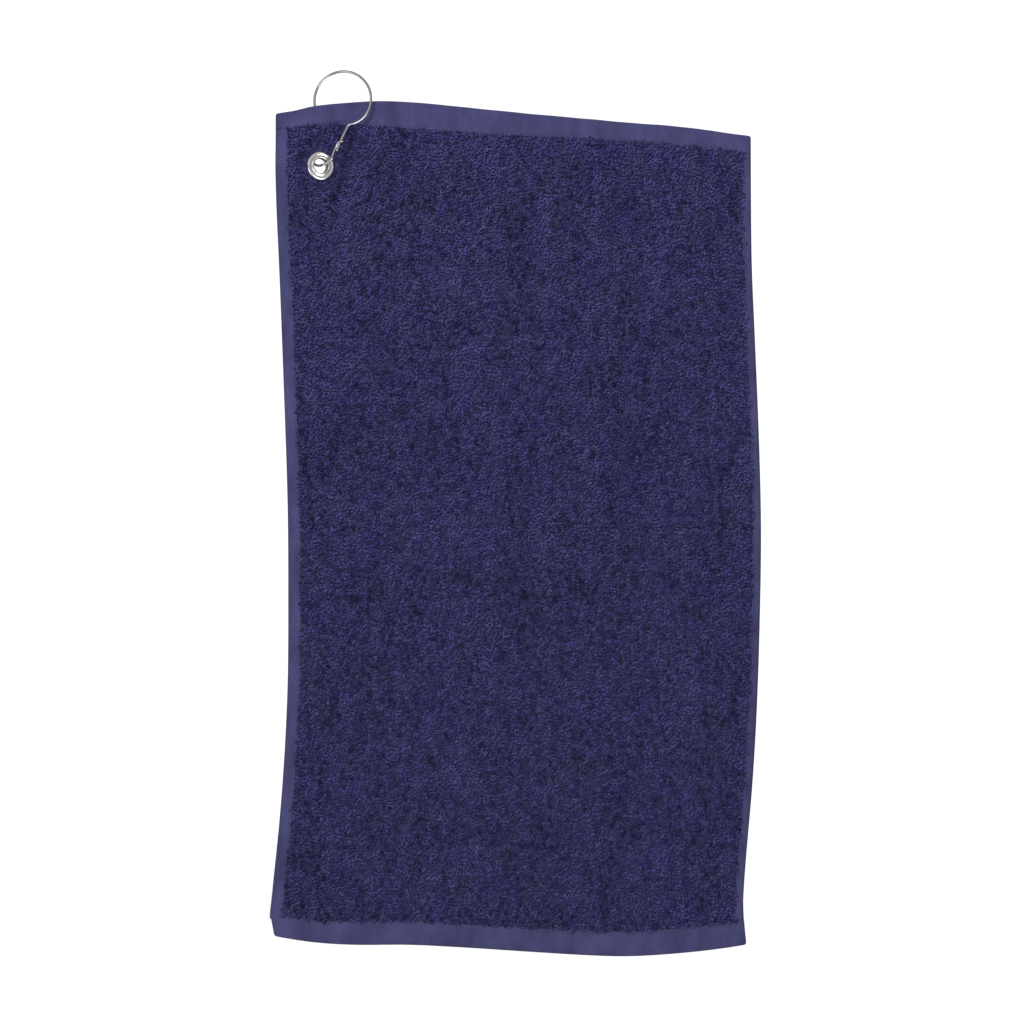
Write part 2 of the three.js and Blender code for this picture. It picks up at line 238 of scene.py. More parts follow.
def traced_end(end):
    """The outer and the inner edge of the top or the bottom hem, as z at an x."""
    outward = 1 if end == "top" else -1
    thread = node_points(f"{end}_needle_thread")
    seam = smooth_line(thread[:, 0], thread[:, 2])
    hem = widest_points(f"hem_{end}")
    beyond = (hem[:, 2] - seam(hem[:, 0])) * outward > 0
    from_sides = np.minimum(hem[:, 0] - left_outer(hem[:, 2]), right_outer(hem[:, 2]) - hem[:, 0])
    outer = hem[beyond & (from_sides > CORNER_RADIUS / 2)]
    inner = hem[~beyond]
    return smooth_line(outer[:, 0], outer[:, 2], softness=2 * MM), smooth_line(inner[:, 0], inner[:, 2])


pile_low, pile_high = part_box("terry_middle")
middle_y = (pile_low.y + pile_high.y) / 2
hem_low, hem_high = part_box("hem_top")
HEM_HALF_THICKNESS = (hem_high.y - hem_low.y) / 2

left_outer, left_inner = traced_side("left")
right_outer, right_inner = traced_side("right")
top_outer, top_inner = traced_end("top")
bottom_outer, bottom_inner = traced_end("bottom")

ring_joint = joint("ring_turn")
arm_joint = joint("arm_open")
hole = np.array(ring_joint["pos_m"])
grommet = hole + GROMMET_SHIFT
loop_top = np.array(arm_joint["pos_m"])
ring_up = -np.array(ring_joint["axis"])
ring_front = np.array(arm_joint["axis"])
ring_right = np.cross(ring_up, ring_front)
flange_low, flange_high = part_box("grommet_eyelet")
FLANGE_RADIUS = (flange_high.x - flange_low.x) / 2

upper_fold_z = joint("fold_upper")["pos_m"][2]
lower_fold_z = joint("fold_lower")["pos_m"][2]
half_way_z = (upper_fold_z + lower_fold_z) / 2  # the long pieces part here, far from both folds


# --- Meshes -----------------------------------------------------------------------------------------

def make_piece(name, points, faces, material, flat_map=True, values=None):
    """A mesh object from arrays. faces is a list of arrays, each of triangles or of quads."""
    mesh = bpy.data.meshes.new(name)
    sizes = np.concatenate([np.full(len(block), block.shape[1]) for block in faces])
    corners = np.concatenate([block.ravel() for block in faces]).astype(np.int32)
    starts = np.concatenate([[0], np.cumsum(sizes)[:-1]]).astype(np.int32)
    mesh.vertices.add(len(points))
    mesh.vertices.foreach_set("co", np.asarray(points, np.float32).ravel())
    mesh.loops.add(len(corners))
    mesh.loops.foreach_set("vertex_index", corners)
    mesh.polygons.add(len(sizes))
    mesh.polygons.foreach_set("loop_start", starts)
    mesh.polygons.foreach_set("use_smooth", np.ones(len(sizes), bool))
    mesh.update(calc_edges=True)
    for label, value in (values or {}).items():
        attribute = mesh.attributes.new(label, "FLOAT", "POINT")
        attribute.data.foreach_set("value", np.asarray(value, np.float32))
    if flat_map:
        add_flat_map(mesh, points, corners)
    piece = bpy.data.objects.new(name, mesh)
    bpy.context.scene.collection.objects.link(piece)
    if material:
        mesh.materials.append(material)
    return piece


def add_flat_map(mesh, points, corners):
    """A texture map seen straight from the front, named OFBake."""
    low = points[:, [0, 2]].min(0)
    high = points[:, [0, 2]].max(0)
    across = (points[:, [0, 2]] - low) / (high - low)
    layer = mesh.uv_layers.new(name="OFBake")
    layer.data.foreach_set("uv", across[corners].astype(np.float32).ravel())


def cell_quads(row, next_row, column, next_column, columns):
    """Quads between pairs of rows and columns, of vertices that are numbered row by row."""
    corners = [
        row * columns + column,
        next_row * columns + column,
        next_row * columns + next_column,
        row * columns + next_column,
    ]
    return np.stack(corners, axis=-1).reshape(-1, 4)


def grid_faces(rows, columns, wrap_columns=False):
    """Quads of a grid of rows x columns vertices."""
    last = columns if wrap_columns else columns - 1
    row, column = np.meshgrid(np.arange(rows - 1), np.arange(last), indexing="ij")
    return cell_quads(row, row + 1, column, (column + 1) % columns, columns)


def capped_tube(sections, outward=True):
    """Points and faces of a closed tube: sections is an array of rows x points round x 3."""
    rows, around, _ = sections.shape
    points = sections.reshape(-1, 3)
    centres = np.stack([sections[0].mean(0), sections[-1].mean(0)])
    ring = np.arange(around)
    following = (ring + 1) % around
    first = np.stack([np.full(around, rows * around), ring, following], axis=-1)
    base = (rows - 1) * around
    last = np.stack([np.full(around, rows * around + 1), base + following, base + ring], axis=-1)
    blocks = [grid_faces(rows, around, wrap_columns=True), np.concatenate([first, last])]
    if not outward:
        blocks = [block[:, ::-1] for block in blocks]
    return np.concatenate([points, centres]), blocks


def smooth_step(share):
    """Eases a share from 0 to 1 in and out."""
    return share ** 2 * (3 - 2 * share)


def soft_noise(x, z, size, seed):
    """Smooth random values from -1 to 1 over the plane, with bumps about this size."""
    local = np.random.default_rng(seed)
    cells = 64
    lattice = local.uniform(-1, 1, (cells, cells))
    u, v = x / size, z / size
    i, j = np.floor(u).astype(int), np.floor(v).astype(int)
    a, b = smooth_step(u - i), smooth_step(v - j)
    i, j, next_i, next_j = i % cells, j % cells, (i + 1) % cells, (j + 1) % cells
    low = lattice[i, j] * (1 - a) + lattice[next_i, j] * a
    high = lattice[i, next_j] * (1 - a) + lattice[next_i, next_j] * a
    return low * (1 - b) + high * b


def layered_noise(layers, x, z):
    """The sum of noise layers, each given as strength, size, squeeze in height and seed."""
    total = 0
    for strength, size, squeeze, seed in layers:
        total = total + strength * soft_noise(x, z * squeeze, size, seed)
    return total


# --- Drape ------------------------------------------------------------------------------------------

def hang_sheet():
    """Lets a plain sheet of the towel's size hang by its top edge, and gives its grid and its sag."""
    x = np.linspace(cad_low[0], cad_high[0], SHEET_COLUMNS)
    z = np.linspace(cad_low[2], cad_high[2], SHEET_ROWS)
    grid_z, grid_x = np.meshgrid(z, x, indexing="ij")
    start = SHEET_START * soft_noise(grid_x, grid_z * 0.3, 60 * MM, 5)
    points = np.stack([grid_x, start, grid_z], axis=-1).reshape(-1, 3)
    quads = grid_faces(SHEET_ROWS, SHEET_COLUMNS)
    sheet = make_piece("sheet", points, [quads], None, flat_map=False)
    top_row = range((SHEET_ROWS - 1) * SHEET_COLUMNS, SHEET_ROWS * SHEET_COLUMNS)
    sheet.vertex_groups.new(name="pinned").add(list(top_row), 1, "REPLACE")
    cloth = sheet.modifiers.new("cloth", "CLOTH")
    cloth.settings.vertex_group_mass = "pinned"
    cloth.settings.quality = 8
    cloth.settings.mass = 0.4
    cloth.settings.tension_stiffness = 40
    cloth.settings.compression_stiffness = 40
    cloth.settings.shear_stiffness = 20
    cloth.settings.bending_stiffness = 1.5
    cloth.settings.shrink_min = -SHEET_GROWTH
    cloth.point_cache.frame_end = SHEET_FRAMES
    for frame_number in range(1, SHEET_FRAMES + 1):
        bpy.context.scene.frame_set(frame_number)
    hung = sheet.evaluated_get(bpy.context.evaluated_depsgraph_get()).data
    places = np.empty(len(points) * 3, np.float32)
    hung.vertices.foreach_get("co", places)
    bpy.data.objects.remove(sheet)
    bpy.context.scene.frame_set(1)
    return x, z, places.reshape(SHEET_ROWS, SHEET_COLUMNS, 3)[:, :, 1].astype(float)


sheet_x, sheet_z, sheet_sag = hang_sheet()


def from_grommet(x, z):
    """How far a place of the tilted cloth is from the grommet's middle, measured along the cloth."""
    return np.hypot((x - grommet[0]) / math.cos(GROMMET_TILT), z - grommet[2])


def sag(x, z):
    """How far the hanging cloth lies behind the flat, here. Round the grommet it lies flat."""
    column = np.interp(x, sheet_x, np.arange(SHEET_COLUMNS))
    row = np.interp(z, sheet_z, np.arange(SHEET_ROWS))
    i = np.minimum(column.astype(int), SHEET_COLUMNS - 2)
    j = np.minimum(row.astype(int), SHEET_ROWS - 2)
    a = column - i
    b = row - j
    low = sheet_sag[j, i] * (1 - a) + sheet_sag[j, i + 1] * a
    high = sheet_sag[j + 1, i] * (1 - a) + sheet_sag[j + 1, i + 1] * a
    from_hole = np.hypot(x - hole[0], z - hole[2])
    calm = np.clip((from_hole - CALM_RADIUS) / CALM_SPREAD, 0, 1)
    hanging = MOST_SAG * np.tanh((low * (1 - b) + high * b) / MOST_SAG) * calm
    dish = smooth_step(np.clip((DISH_END - from_grommet(x, z)) / (DISH_END - DISH_FLAT), 0, 1))
    return hanging + math.tan(GROMMET_TILT) * (x - grommet[0]) * dish


def on_cloth(x, z, out):
    """Points of the draped cloth, this far out from the middle of its thickness."""
    return np.stack([x, middle_y - out + sag(x, z), z], axis=-1)


# --- Pile -------------------------------------------------------------------------------------------

def inside_pile(x, z, margin):
    """Whether places lie on the terry, at least margin inside the hems."""
    across = (x > left_inner(z) + margin) & (x < right_inner(z) - margin)
    return across & (z < top_inner(x) - margin) & (z > bottom_inner(x) + margin)


def loop_feet(pitch):
    """The places of all loops: a staggered grid, shaken so that no rows show."""
    rows = np.arange(cad_low[2], cad_high[2], pitch * 0.9)
    columns = np.arange(cad_low[0], cad_high[0], pitch * 1.1)
    x, z = np.meshgrid(columns, rows)
    x = x + (np.arange(len(rows)) % 2)[:, None] * pitch * 0.55
    x = (x + random.uniform(-FOOT_SHAKE, FOOT_SHAKE, x.shape) * pitch).ravel()
    z = (z + random.uniform(-FOOT_SHAKE, FOOT_SHAKE, z.shape) * pitch).ravel()
    clear = from_grommet(x, z) > FLANGE_RADIUS + 0.1 * MM
    keep = inside_pile(x, z, layered_noise(RAGGED_LAYERS, x, z) - PILE_OVERHANG) & clear
    return x[keep], z[keep]


def pile_lay(x, z):
    """The way the pile is brushed here: how much it leans to the right and upwards, from -1 to 1."""
    sideways = soft_noise(x, z * LAY_SQUEEZE, LAY_SIZE, 15)
    upwards = soft_noise(x, z * LAY_SQUEEZE, LAY_SIZE, 16)
    return np.stack([sideways, upwards], axis=-1)


def loop_paths(x, z, heading, lean, height, span, curl):
    """The centre lines of loops as [x, z, out], from one foot over the head to the other foot."""
    turn = np.linspace(0, math.pi, LOOP_RINGS + 2)
    along = -np.cos(turn)[None, :] * span[:, None] / 2
    rise = np.sin(turn)[None, :] * height[:, None]
    side = np.sin(2 * turn)[None, :] * curl[:, None]
    fall = np.sin(turn)[None, :] ** 1.5
    cos_h, sin_h = np.cos(heading)[:, None], np.sin(heading)[:, None]
    path_x = x[:, None] + along * cos_h - side * sin_h + fall * lean[:, :1]
    path_z = z[:, None] + along * sin_h + side * cos_h + fall * lean[:, 1:]
    return np.stack([path_x, path_z, FOOT_OUT + rise], axis=-1)


def loop_tubes(path, heading, yarn, sides):
    """The vertices of a tube round each path, in rings, and then the two feet."""
    tangent = np.gradient(path, axis=1)
    tangent /= np.linalg.norm(tangent, axis=-1, keepdims=True)
    level = np.stack([-np.sin(heading), np.cos(heading), np.zeros(len(heading))], axis=-1)[:, None]
    level = level - (level * tangent).sum(-1, keepdims=True) * tangent
    level /= np.linalg.norm(level, axis=-1, keepdims=True)
    upright = np.cross(tangent, level)
    spin = np.arange(sides) * 2 * math.pi / sides
    ring = level[:, 1:-1, None] * np.cos(spin)[:, None] + upright[:, 1:-1, None] * np.sin(spin)[:, None]
    rings = path[:, 1:-1, None] + ring * yarn[:, None, None, None]
    flat_rings = rings.reshape(len(path), -1, 3)
    return np.concatenate([flat_rings, path[:, :1], path[:, -1:]], axis=1).reshape(-1, 3)


def loop_faces(count, sides, facing):
    """The quads and the end triangles of this many loops."""
    tube = grid_faces(LOOP_RINGS, sides, wrap_columns=True)
    start = LOOP_RINGS * sides
    end = start + 1
    last_ring = start - sides
    around = np.arange(sides)
    after = (around + 1) % sides
    tips = np.concatenate([
        np.stack([np.full(sides, start), around, after], axis=-1),
        np.stack([np.full(sides, end), last_ring + after, last_ring + around], axis=-1),
    ])
    offsets = (np.arange(count) * (end + 1))[:, None, None]
    blocks = [(tube[None] + offsets).reshape(-1, 4), (tips[None] + offsets).reshape(-1, 3)]
    if facing > 0:
        blocks = [block[:, ::-1] for block in blocks]
    return blocks


def loops_mesh(x, z, facing, sides):
    """Points, faces and values of yarn loops at these feet. facing is 1 on the front, -1 on the back."""
    count = len(x)
    heading = random.normal(0, HEADING_SPREAD, count)
    lean = (0.65 * random.uniform(-1, 1, (count, 2)) + 0.9 * pile_lay(x, z)) * LOOP_LEAN
    near_flange = np.clip((from_grommet(x, z) - FLANGE_RADIUS) / FLANGE_PRESS, 0.25, 1)
    clump = layered_noise(CLUMP_LAYERS, x, z)
    height = LOOP_HEIGHT * (random.uniform(0.75, 1.15, count) + 0.22 * clump) * near_flange
    span = LOOP_SPAN * random.uniform(0.8, 1.25, count)
    curl = random.uniform(-0.5, 0.5, count) * MM
    yarn = YARN_RADIUS * random.uniform(0.88, 1.12, count)
    # The clump term is painted light and shade: loops that stand higher together are drawn lighter, lower
    # ones darker.
    shade = layered_noise(SHADE_LAYERS, x, z) + 0.4 * clump + random.uniform(-0.7, 0.7, count)
    hue = layered_noise(HUE_LAYERS, x, z)

    path = loop_paths(x, z, heading, lean, height, span, curl)
    local = loop_tubes(path, heading, yarn, sides)
    per_loop = len(local) // count
    points = on_cloth(local[:, 0], local[:, 1], facing * local[:, 2])
    return points, loop_faces(count, sides, facing), {
        "shade": np.repeat(shade, per_loop),
        "hue": np.repeat(hue, per_loop),
        # The rise of each point over the cloth, which the material turns into painted shade towards the
        # loops' feet.
        "painted_foot_shade": np.clip(local[:, 2] / (LOOP_HEIGHT + YARN_RADIUS), 0, 1.2),
    }


def blend_at_folds(piece):
    """Bakes a piece of cloth's placement into its mesh."""
    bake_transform(piece)


def build_pile(facing, pitch, sides):
    """The loops of one face, in two halves of the height and some strips of the width."""
    face = "front" if facing > 0 else "back"
    x, z = loop_feet(pitch)
    edges = np.linspace(x.min(), x.max() + MM, PILE_STRIPS + 1)
    for half, is_upper in (("upper", True), ("lower", False)):
        for strip in range(PILE_STRIPS):
            here = (z >= half_way_z) == is_upper
            here &= (x >= edges[strip]) & (x < edges[strip + 1])
            points, faces, values = loops_mesh(x[here], z[here], facing, sides)
            name = f"{face}_loops_{half}_{strip + 1}"
            piece = make_piece(name, points, faces, terry_material, values=values)
            blend_at_folds(piece)


def slab_faces(cell):
    """Quads of a slab made of these marked cells: its front, its back, and its rim.

    The front's vertices are numbered row by row, and then come the back's.
    """
    height, width = cell.shape
    columns = width + 1
    back = (height + 1) * columns
    i, j = np.nonzero(cell)
    front = cell_quads(i, i + 1, j, j + 1, columns)
    blocks = [front, front[:, ::-1] + back]
    padded = np.pad(cell, 1)
    for (row_step, column_step), first_end, second_end in CELL_SIDES:
        first_row, first_column = 1 + row_step, 1 + column_step
        neighbour = padded[first_row:first_row + height, first_column:first_column + width]
        i, j = np.nonzero(cell & ~neighbour)
        one = (i + first_end[0]) * columns + j + first_end[1]
        two = (i + second_end[0]) * columns + j + second_end[1]
        blocks.append(np.stack([one, one + back, two + back, two], axis=-1))
    return np.concatenate(blocks)


def build_base_cloth():
    """The woven ground that the loops stand on, as a thin slab with a hole for the grommet."""
    x = np.arange(cad_low[0], cad_high[0], BASE_CELL)
    upper_z = np.arange(half_way_z, cad_high[2], BASE_CELL)
    lower_z = np.arange(half_way_z, cad_low[2], -BASE_CELL)[::-1]
    for half, z in (("upper", upper_z), ("lower", lower_z)):
        grid_x, grid_z = np.meshgrid(x, z, indexing="ij")
        on_terry = inside_pile(grid_x, grid_z, -BASE_CELL - BASE_OVERHANG)
        on_terry &= from_grommet(grid_x, grid_z) > FLANGE_RADIUS * 0.66
        cell = on_terry[:-1, :-1] & on_terry[1:, :-1] & on_terry[:-1, 1:] & on_terry[1:, 1:]
        faces = slab_faces(cell)
        points = np.concatenate([
            on_cloth(grid_x.ravel(), grid_z.ravel(), BASE_HALF_THICKNESS),
            on_cloth(grid_x.ravel(), grid_z.ravel(), -BASE_HALF_THICKNESS),
        ])
        used, renumbered = np.unique(faces.ravel(), return_inverse=True)
        quads = renumbered.reshape(-1, 4)
        piece = make_piece(f"base_cloth_{half}", points[used], [quads], base_material)
        blend_at_folds(piece)
        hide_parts(*(("terry_upper", "terry_middle") if half == "upper" else ("terry_lower",)))


# --- Hems -------------------------------------------------------------------------------------------

def hem_section(width, step):
    """Half of a hem's section, as distance from its outer fold and share of its half thickness."""
    bend = np.linspace(0, math.pi / 2, 7)
    fold = HEM_HALF_THICKNESS * (1 - np.cos(bend))
    divisions = max(6, int((width - HEM_HALF_THICKNESS) / step))
    flat = np.linspace(HEM_HALF_THICKNESS, width, divisions + 1)[1:]
    distance = np.concatenate([fold, flat])
    share = np.concatenate([np.sin(bend), np.ones(len(flat))])
    inner_drop = np.sqrt(np.clip((width - distance) / INNER_ROUNDING, 0, 1))
    return distance, share * (INNER_EDGE_SHARE + (1 - INNER_EDGE_SHARE) * inner_drop)


def seam_relief(from_seam, along):
    """How much the hem swells between its stitches and sinks along them."""
    groove = SEAM_DEPTH * np.exp(-(from_seam / SEAM_WIDTH) ** 2)
    beat = np.cos(2 * math.pi * along / STITCH_LENGTH)
    return PUCKER * beat * np.exp(-(from_seam / PUCKER_WIDTH) ** 2) - groove


def hem_mesh(outer, inner, is_end, step):
    """The sections of a band between two edge lines of [x, z], with its ribs and the fold's shade.

    An end hem's two ends are folded round. A side hem grows thin where it runs on under an end hem.
    """
    reach = np.linalg.norm(inner - outer, axis=1)
    distance, share = hem_section(reach.mean(), step)
    part = distance / reach.mean()
    x = outer[:, :1] + (inner - outer)[:, :1] * part
    z = outer[:, 1:] + (inner - outer)[:, 1:] * part
    run = np.concatenate([[0], np.cumsum(np.linalg.norm(np.diff(outer, axis=0), axis=1))])[:, None]
    along = x if is_end else z
    from_edge = distance[None, :] * np.ones_like(run)
    # The ribs shape the relief, and the colour follows them: painted shade in their grooves and painted
    # light on their crests.
    rib = np.sin(2 * math.pi * (x if is_end else from_edge) / RIB_PITCH)
    grain = soft_noise(x * (1 if is_end else 4), z * (4 if is_end else 1), GRAIN_SIZE, 21)
    relief = RIB_RELIEF * (rib + 0.5 * grain) + layered_noise(SWELL_LAYERS, x, z)
    seam = seam_relief(from_edge - (reach.mean() - SEAM_INSET), along)
    half = (HEM_HALF_THICKNESS + relief + seam) * share
    if is_end:
        from_end = np.minimum(run, run[-1] - run)
        half = half + CORNER_SWELL * np.clip(1.5 - from_end / (6 * MM), 0, 1) * share
        half = half * end_rounding(from_end)
    else:
        tucked_end = outer[np.argmax(np.abs(outer[:, 1] - half_way_z)), 1]
        half = half * (0.5 + 0.5 * np.clip(np.abs(z - tucked_end) / TUCK, 0, 1) ** 2)
    sections = np.concatenate([on_cloth(x, z, half), on_cloth(x, z, -half)[:, :0:-1]], axis=1)
    # The fold value paints shade along the hem's outer fold.
    shades = {"rib": rib + grain, "fold": np.exp(-from_edge / FOLD_SHADE_WIDTH)}
    round_both = {name: np.concatenate([value, value[:, :0:-1]], axis=1) for name, value in shades.items()}
    return sections, round_both


def end_rounding(from_end):
    """The share of its thickness that a folded edge has, this far from its end."""
    near = np.clip(from_end / HEM_HALF_THICKNESS, 0, 1)
    return np.sqrt(np.clip(near * (2 - near), 0.0004, 1))


def add_hem(name, outer, inner, is_end, is_outward, step):
    sections, shades = hem_mesh(outer, inner, is_end, step)
    points, blocks = capped_tube(sections, outward=is_outward)
    values = {label: np.concatenate([value.ravel(), [0, 0]]) for label, value in shades.items()}
    return make_piece(name, points, blocks, hem_material, values=values)


def across_cloth(line, fractions):
    """Points [x, z] on an end's line at these fractions of the cloth's width."""
    x = left_outer(line(0)) + fractions * (right_outer(line(0)) - left_outer(line(0)))
    for _ in range(4):
        z = line(x)
        x = left_outer(z) + fractions * (right_outer(z) - left_outer(z))
    return np.stack([x, z], axis=-1)


def round_corners(outer, inner):
    """Pulls an outer edge in towards the inner edge near its two ends, to round the corners."""
    run = np.concatenate([[0], np.cumsum(np.linalg.norm(np.diff(outer, axis=0), axis=1))])
    short = np.clip(CORNER_RADIUS - np.minimum(run, run[-1] - run), 0, CORNER_RADIUS)
    pull = CORNER_RADIUS - np.sqrt(CORNER_RADIUS ** 2 - short ** 2)
    inward = inner - outer
    return outer + pull[:, None] * inward / np.linalg.norm(inward, axis=1, keepdims=True)


def build_end_hem(end):
    outer_line, inner_line = (top_outer, top_inner) if end == "top" else (bottom_outer, bottom_inner)
    low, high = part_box(f"hem_{end}")
    fractions = np.linspace(0, 1, int((high.x - low.x) / RIB_PITCH * 5))
    outer = across_cloth(outer_line, fractions)
    inner = across_cloth(inner_line, fractions)
    outer = round_corners(outer, inner)
    piece = add_hem(f"{end}_hem", outer, inner, True, end == "bottom", 0.8 * MM)
    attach(piece, "upper_third" if end == "top" else "lower_third")
    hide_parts(f"hem_{end}")


def side_spans(side, overlap):
    """The heights that the two halves of a side run between, with this much more at the far ends."""
    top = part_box(f"{side}_hem_upper")[1].z + overlap
    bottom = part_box(f"{side}_hem_lower")[0].z - overlap
    return {"upper": (half_way_z, top), "lower": (bottom, half_way_z)}


def build_side_hem(side):
    outer_line, inner_line = (left_outer, left_inner) if side == "left" else (right_outer, right_inner)
    for half, (low, high) in side_spans(side, TUCK).items():
        z = np.linspace(low, high, int((high - low) / (1 * MM)) + 1)
        outer = np.stack([outer_line(z), z], axis=-1)
        inner = np.stack([inner_line(z), z], axis=-1)
        piece = add_hem(f"{side}_hem_{half}_half", outer, inner, False, side == "right", RIB_PITCH / 5)
        blend_at_folds(piece)
        nodes = (f"{side}_hem_upper", f"{side}_hem_middle") if half == "upper" else (f"{side}_hem_lower",)
        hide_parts(*nodes)


# --- Threads and wire -------------------------------------------------------------------------------

def swept_tube(path, radius, sides):
    """Points and faces of a closed round tube along a path, with round ends and no twist."""
    tangent = np.gradient(path, axis=0)
    tangent /= np.linalg.norm(tangent, axis=1, keepdims=True)
    normal = np.cross(tangent[0], [0.3, 0.5, 0.81])
    normals = []
    for direction in tangent:
        normal = normal - (normal @ direction) * direction
        normal = normal / np.linalg.norm(normal)
        normals.append(normal)
    normals = np.array(normals)
    sideways = np.cross(tangent, normals)
    bend = np.linspace(0.15, math.pi / 2, 4)[:-1]
    cap = radius * np.cos(bend)[:, None]
    centres = np.concatenate([path[0] - tangent[0] * cap, path, (path[-1] + tangent[-1] * cap)[::-1]])
    cap_radii = radius * np.sin(bend)
    radii = np.concatenate([cap_radii, np.full(len(path), radius), cap_radii[::-1]])
    normals = np.pad(normals, ((len(bend), len(bend)), (0, 0)), mode="edge")
    sideways = np.pad(sideways, ((len(bend), len(bend)), (0, 0)), mode="edge")
    spin = np.arange(sides) * 2 * math.pi / sides
    ring = normals[:, None] * np.cos(spin)[:, None] + sideways[:, None] * np.sin(spin)[:, None]
    return capped_tube(centres[:, None] + ring * radii[:, None, None], outward=False)


def smooth_path(knots, per_span):
    """A smooth curve through knots."""
    knots = np.asarray(knots, float)
    padded = np.concatenate([[2 * knots[0] - knots[1]], knots, [2 * knots[-1] - knots[-2]]])
    t = np.linspace(0, 1, per_span, endpoint=False)[:, None]
    spans = []
    for a, b, c, d in zip(padded, padded[1:], padded[2:], padded[3:]):
        spans.append(0.5 * (2 * b + (c - a) * t + (2 * a - 5 * b + 4 * c - d) * t ** 2
                            + (3 * b - a - 3 * c + d) * t ** 3))
    return np.concatenate(spans + [knots[-1:]])


def build_seam(name, line, facing, nodes):
    """Lockstitches along a line of [x, z]. Each stitch dips into the hem at both its ends."""
    length = np.concatenate([[0], np.cumsum(np.linalg.norm(np.diff(line, axis=0), axis=1))])
    stitches = int(length[-1] / STITCH_LENGTH)
    run = np.linspace(0, stitches * STITCH_LENGTH, stitches * 8 + 1)
    x = np.interp(run, length, line[:, 0])
    z = np.interp(run, length, line[:, 1])
    lift = np.abs(np.sin(math.pi * run / STITCH_LENGTH)) ** 0.6
    out = facing * (HEM_HALF_THICKNESS - 0.42 * MM + 0.4 * MM * lift)
    points, blocks = swept_tube(on_cloth(x, z, out), THREAD_RADIUS, 6)
    piece = make_piece(name, points, blocks, thread_material)
    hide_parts(*nodes)
    return piece


def build_end_seams(end):
    inner_line = top_inner if end == "top" else bottom_inner
    inward = 1 if end == "top" else -1
    low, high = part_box(f"{end}_needle_thread")
    x = np.arange(low.x, high.x, 1 * MM)
    line = np.stack([x, inner_line(x) + inward * SEAM_INSET], axis=-1)
    for thread, facing in (("needle", 1), ("bobbin", -1)):
        piece = build_seam(f"{end}_{thread}_stitches", line, facing, [f"{end}_{thread}_thread"])
        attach(piece, "upper_third" if end == "top" else "lower_third")


def build_side_seams(side):
    inner_line = left_inner if side == "left" else right_inner
    outward = -1 if side == "left" else 1
    for half, (low, high) in side_spans(side, 0).items():
        z = np.arange(low, high, 1 * MM)
        if half == "lower":
            z = z[::-1]
        line = np.stack([inner_line(z) + outward * SEAM_INSET, z], axis=-1)
        for thread, facing in (("needle", 1), ("bobbin", -1)):
            thirds = ("upper", "middle") if half == "upper" else ("lower",)
            nodes = [f"{side}_{third}_{thread}_thread" for third in thirds]
            piece = build_seam(f"{side}_{half}_{thread}_stitches", line, facing, nodes)
            blend_at_folds(piece)


def ring_point(along, across, out):
    """A place in the ring's own frame: up its long axis, to its right, and out to the front."""
    return hole + ring_up * along + ring_right * across + ring_front * out


def build_ring():
    """The spring wire, as two runs that meet at the loop's left side."""
    arm = node_points("ring_arm") - hole
    standoff = (arm @ ring_front).max() - WIRE_RADIUS
    radius = (arm @ ring_right).max() - WIRE_RADIUS
    centre = np.linalg.norm(loop_top - hole) - radius

    def loop_knots(start, end, count):
        angle = np.linspace(start, end, count)
        turn = np.clip(angle, math.pi / 2, 3 * math.pi / 2) - math.pi / 2
        drawn_in = radius - NECK_PULL * np.exp(-((angle - NECK_ANGLE) / NECK_PULL_SPREAD) ** 2)
        return [
            ring_point(centre - r * math.cos(a), r * math.sin(a) - LOOP_SHIFT, standoff * math.cos(t))
            for a, r, t in zip(angle, drawn_in, turn)
        ]

    parting = 3 * math.pi / 2
    first = [
        ring_point(18.1 * MM, 7.9 * MM, standoff + 1.1 * MM),
        ring_point(17.8 * MM, 7.3 * MM, standoff + 1.6 * MM),
        ring_point(17.1 * MM, 6.3 * MM, standoff + 1.5 * MM),
        ring_point(15.8 * MM, 5.4 * MM, standoff + 0.8 * MM),
        ring_point(14 * MM, 5 * MM, standoff + 0.1 * MM),
        ring_point(11 * MM, 4.7 * MM, standoff),
        ring_point(7.6 * MM, 4.7 * MM, standoff),
        ring_point(5.6 * MM, 4.6 * MM, standoff - 0.3 * MM),
        ring_point(3.4 * MM, 3.2 * MM, 2.8 * MM),
        ring_point(1.4 * MM, 0.7 * MM, 1.1 * MM),
        ring_point(0.1 * MM, -1.6 * MM, -0.4 * MM),
        ring_point(0, -4.2 * MM, -1.7 * MM),
        ring_point(1.4 * MM, -5.8 * MM, -3 * MM),
        ring_point(4 * MM, -6.3 * MM, -standoff - 0.2 * MM),
        ring_point(9 * MM, -6.2 * MM, -standoff - 0.1 * MM),
        ring_point(18 * MM, -7 * MM, -standoff),
        ring_point(24.5 * MM, -7.8 * MM, -standoff),
        *loop_knots(2 * math.pi - NECK_ANGLE, parting, 7),
    ]
    second = [
        *loop_knots(parting, NECK_ANGLE, 24),
        ring_point(26.5 * MM, 7.8 * MM, standoff),
        ring_point(23 * MM, 7.3 * MM, standoff),
        ring_point(18 * MM, 6.6 * MM, standoff),
        ring_point(15 * MM, 6.4 * MM, standoff),
        ring_point(12 * MM, 6.2 * MM, standoff),
    ]
    points, blocks = swept_tube(smooth_path(first, 8), WIRE_RADIUS, 20)
    fixed = make_piece("ring_wire_run", points, blocks, wire_material, flat_map=False)
    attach(fixed, "ring")
    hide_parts("ring_wire")
    points, blocks = swept_tube(smooth_path(second, 8), WIRE_RADIUS, 20)
    flexing = make_piece("ring_arm_run", points, blocks, wire_material, flat_map=False)
    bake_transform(flexing)
    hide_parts("ring_arm")


